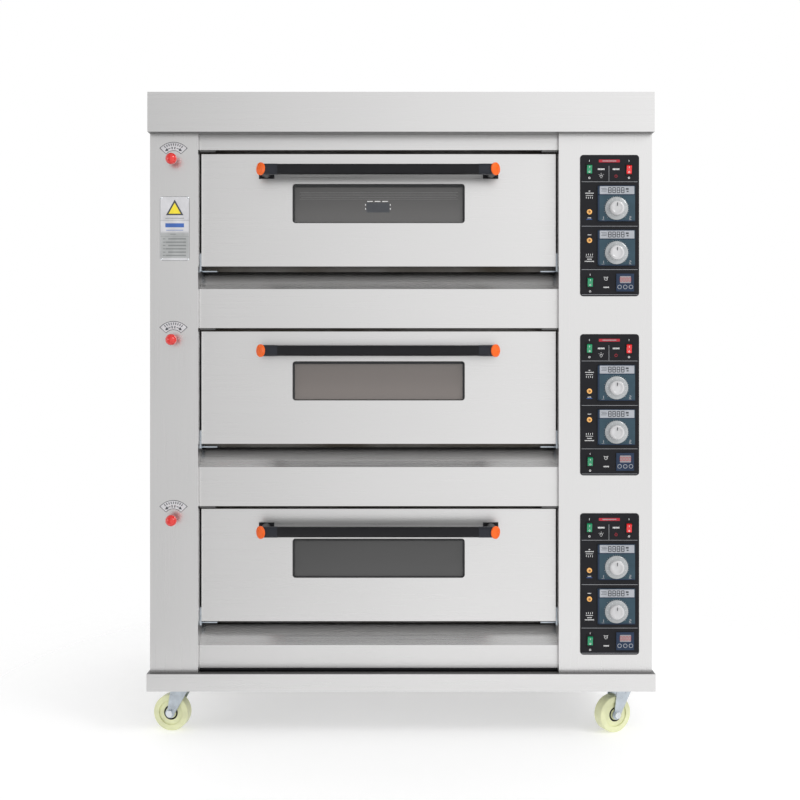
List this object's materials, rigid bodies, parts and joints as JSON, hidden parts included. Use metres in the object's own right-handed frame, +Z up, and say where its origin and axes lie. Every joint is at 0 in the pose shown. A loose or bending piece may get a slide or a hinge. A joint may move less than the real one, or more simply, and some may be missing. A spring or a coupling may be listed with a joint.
{
  "type": "deck oven",
  "caption": "Electric deck oven on swivel castors: baking chambers with drop-down glazed doors, a control column with dials and rocker switches, and exhaust dampers.",
  "frame": {"origin": "on the floor, at the middle of the oven's bounding box", "axes": "+Z up, +Y to the back of the oven, so that the doors face -Y, +X to the right as seen from the front"},
  "size_m": [1.25, 0.8697, 1.589],
  "materials": {
    "stainless": "brushed stainless steel sheet",
    "frame_steel": "painted square tube",
    "liner_steel": "heat-tinted liner sheet",
    "hearth_steel": "dark steel baking plate",
    "element_steel": "tubular heating element sheath",
    "wool": "mineral wool board",
    "lamp_glass": "oven lamp glass",
    "galvanised": "galvanised duct sheet",
    "zinc": "zinc-plated steel",
    "panel_black": "satin black control panel",
    "slate_plastic": "slate blue instrument plastic",
    "navy_plastic": "dark blue instrument plastic",
    "black_plastic": "black switch plastic",
    "amber": "amber lamp lens",
    "white_plastic": "light switchgear plastic",
    "window_glass": "dark heat-resistant glass",
    "handle_black": "black handle with orange end caps",
    "red": "glossy red",
    "green": "glossy green",
    "dial_silver": "silver grey dial",
    "wheel_nylon": "pale yellow-green nylon"
  },
  "bodies": {
    "oven_body": {"canopy": "stainless", "left_column": "stainless", "control_column": "stainless", "side_panels": "stainless", "back_panel": "stainless", "base_pan": "stainless", "front_fascias": "stainless", "main_frame": "frame_steel", "oven_chambers": "liner_steel", "hearth_plates": "hearth_steel", "heating_elements": "element_steel", "insulation_blocks": "wool", "chamber_lamps": "lamp_glass", "exhaust_ducts": "galvanised", "hinge_brackets": "zinc", "control_plates": "panel_black", "thermostat_bodies": "slate_plastic", "timer_modules": "navy_plastic", "switch_housings": "black_plastic", "indicator_lamps": "amber", "electrical_gear": "white_plastic", "castor_mounts": "zinc"},
    "lower_door": {"lower_door_casing": "stainless", "lower_door_wool": "wool", "lower_door_window": "window_glass", "lower_door_handle": "handle_black"},
    "middle_door": {"middle_door_casing": "stainless", "middle_door_wool": "wool", "middle_door_window": "window_glass", "middle_door_handle": "handle_black"},
    "upper_door": {"upper_door_casing": "stainless", "upper_door_wool": "wool", "upper_door_window": "window_glass", "upper_door_handle": "handle_black"},
    "lower_damper": {"lower_damper": "red"},
    "middle_damper": {"middle_damper": "red"},
    "upper_damper": {"upper_damper": "red"},
    "lower_light_rocker": {"lower_light_rocker": "green"},
    "lower_power_rocker": {"lower_power_rocker": "red"},
    "lower_timer_rocker": {"lower_timer_rocker": "green"},
    "middle_light_rocker": {"middle_light_rocker": "green"},
    "middle_power_rocker": {"middle_power_rocker": "red"},
    "middle_timer_rocker": {"middle_timer_rocker": "green"},
    "upper_light_rocker": {"upper_light_rocker": "green"},
    "upper_power_rocker": {"upper_power_rocker": "red"},
    "upper_timer_rocker": {"upper_timer_rocker": "green"},
    "lower_dial_lower": {"lower_dial_lower": "dial_silver"},
    "lower_dial_upper": {"lower_dial_upper": "dial_silver"},
    "middle_dial_lower": {"middle_dial_lower": "dial_silver"},
    "middle_dial_upper": {"middle_dial_upper": "dial_silver"},
    "upper_dial_lower": {"upper_dial_lower": "dial_silver"},
    "upper_dial_upper": {"upper_dial_upper": "dial_silver"},
    "front_left_fork": {"front_left_fork": "zinc"},
    "front_left_wheel": {"front_left_wheel": "wheel_nylon"},
    "front_right_fork": {"front_right_fork": "zinc"},
    "front_right_wheel": {"front_right_wheel": "wheel_nylon"},
    "rear_left_fork": {"rear_left_fork": "zinc"},
    "rear_left_wheel": {"rear_left_wheel": "wheel_nylon"},
    "rear_right_fork": {"rear_right_fork": "zinc"},
    "rear_right_wheel": {"rear_right_wheel": "wheel_nylon"}
  },
  "joints": [
    {"name": "lower_door_hinge", "type": "hinge", "parent": "oven_body", "child": "lower_door", "pos_m": [-0.05575, -0.337, 0.3045], "axis": [1, 0, 0], "range_deg": [0, 90], "stiffness_Nm_per_rad": 4, "springref_deg": -28.65},
    {"name": "middle_door_hinge", "type": "hinge", "parent": "oven_body", "child": "middle_door", "pos_m": [-0.05575, -0.337, 0.747], "axis": [1, 0, 0], "range_deg": [0, 90], "stiffness_Nm_per_rad": 4, "springref_deg": -28.65},
    {"name": "upper_door_hinge", "type": "hinge", "parent": "oven_body", "child": "upper_door", "pos_m": [-0.05575, -0.337, 1.1895], "axis": [1, 0, 0], "range_deg": [0, 90], "stiffness_Nm_per_rad": 4, "springref_deg": -28.65},
    {"name": "lower_damper_turn", "type": "hinge", "parent": "oven_body", "child": "lower_damper", "pos_m": [-0.562, -0.38, 0.54], "axis": [0, -1, 0], "range_deg": [0, 90]},
    {"name": "middle_damper_turn", "type": "hinge", "parent": "oven_body", "child": "middle_damper", "pos_m": [-0.562, -0.38, 0.9825], "axis": [0, -1, 0], "range_deg": [0, 90]},
    {"name": "upper_damper_turn", "type": "hinge", "parent": "oven_body", "child": "upper_damper", "pos_m": [-0.562, -0.38, 1.425], "axis": [0, -1, 0], "range_deg": [0, 90]},
    {"name": "lower_light_switch", "type": "hinge", "parent": "oven_body", "child": "lower_light_rocker", "pos_m": [0.4651, -0.38, 0.5184], "axis": [-1, 0, 0], "range_deg": [0, 18]},
    {"name": "lower_power_switch", "type": "hinge", "parent": "oven_body", "child": "lower_power_rocker", "pos_m": [0.5629, -0.38, 0.5176], "axis": [-1, 0, 0], "range_deg": [0, 18]},
    {"name": "lower_timer_switch", "type": "hinge", "parent": "oven_body", "child": "lower_timer_rocker", "pos_m": [0.4669, -0.38, 0.239], "axis": [-1, 0, 0], "range_deg": [0, 18]},
    {"name": "middle_light_switch", "type": "hinge", "parent": "oven_body", "child": "middle_light_rocker", "pos_m": [0.4651, -0.38, 0.9609], "axis": [-1, 0, 0], "range_deg": [0, 18]},
    {"name": "middle_power_switch", "type": "hinge", "parent": "oven_body", "child": "middle_power_rocker", "pos_m": [0.5629, -0.38, 0.9601], "axis": [-1, 0, 0], "range_deg": [0, 18]},
    {"name": "middle_timer_switch", "type": "hinge", "parent": "oven_body", "child": "middle_timer_rocker", "pos_m": [0.4669, -0.38, 0.6815], "axis": [-1, 0, 0], "range_deg": [0, 18]},
    {"name": "upper_light_switch", "type": "hinge", "parent": "oven_body", "child": "upper_light_rocker", "pos_m": [0.4651, -0.38, 1.4034], "axis": [-1, 0, 0], "range_deg": [0, 18]},
    {"name": "upper_power_switch", "type": "hinge", "parent": "oven_body", "child": "upper_power_rocker", "pos_m": [0.5629, -0.38, 1.4026], "axis": [-1, 0, 0], "range_deg": [0, 18]},
    {"name": "upper_timer_switch", "type": "hinge", "parent": "oven_body", "child": "upper_timer_rocker", "pos_m": [0.4669, -0.38, 1.124], "axis": [-1, 0, 0], "range_deg": [0, 18]},
    {"name": "lower_dial_lower_turn", "type": "hinge", "parent": "oven_body", "child": "lower_dial_lower", "pos_m": [0.5314, -0.38, 0.3119], "axis": [0, 1, 0], "range_deg": [0, 270]},
    {"name": "lower_dial_upper_turn", "type": "hinge", "parent": "oven_body", "child": "lower_dial_upper", "pos_m": [0.5314, -0.38, 0.4213], "axis": [0, 1, 0], "range_deg": [0, 270]},
    {"name": "middle_dial_lower_turn", "type": "hinge", "parent": "oven_body", "child": "middle_dial_lower", "pos_m": [0.5314, -0.38, 0.7544], "axis": [0, 1, 0], "range_deg": [0, 270]},
    {"name": "middle_dial_upper_turn", "type": "hinge", "parent": "oven_body", "child": "middle_dial_upper", "pos_m": [0.5314, -0.38, 0.8638], "axis": [0, 1, 0], "range_deg": [0, 270]},
    {"name": "upper_dial_lower_turn", "type": "hinge", "parent": "oven_body", "child": "upper_dial_lower", "pos_m": [0.5314, -0.38, 1.1969], "axis": [0, 1, 0], "range_deg": [0, 270]},
    {"name": "upper_dial_upper_turn", "type": "hinge", "parent": "oven_body", "child": "upper_dial_upper", "pos_m": [0.5314, -0.38, 1.3063], "axis": [0, 1, 0], "range_deg": [0, 270]},
    {"name": "front_left_swivel", "type": "hinge", "parent": "oven_body", "child": "front_left_fork", "pos_m": [-0.553, -0.32, 0.105], "axis": [0, 0, 1], "continuous": true},
    {"name": "front_left_roll", "type": "hinge", "parent": "front_left_fork", "child": "front_left_wheel", "pos_m": [-0.57664, -0.31583, 0.045], "axis": [0.1736, 0.9848, 0], "continuous": true},
    {"name": "front_right_swivel", "type": "hinge", "parent": "oven_body", "child": "front_right_fork", "pos_m": [0.553, -0.32, 0.105], "axis": [0, 0, 1], "continuous": true},
    {"name": "front_right_roll", "type": "hinge", "parent": "front_right_fork", "child": "front_right_wheel", "pos_m": [0.53125, -0.33014, 0.045], "axis": [-0.4226, 0.9063, 0], "continuous": true},
    {"name": "rear_left_swivel", "type": "hinge", "parent": "oven_body", "child": "rear_left_fork", "pos_m": [-0.553, 0.345, 0.105], "axis": [0, 0, 1], "continuous": true},
    {"name": "rear_left_roll", "type": "hinge", "parent": "rear_left_fork", "child": "rear_left_wheel", "pos_m": [-0.57618, 0.33879, 0.045], "axis": [-0.2588, 0.9659, 0], "continuous": true},
    {"name": "rear_right_swivel", "type": "hinge", "parent": "oven_body", "child": "rear_right_fork", "pos_m": [0.553, 0.345, 0.105], "axis": [0, 0, 1], "continuous": true},
    {"name": "rear_right_roll", "type": "hinge", "parent": "rear_right_fork", "child": "rear_right_wheel", "pos_m": [0.53045, 0.35321, 0.045], "axis": [0.342, 0.9397, 0], "continuous": true}
  ]
}
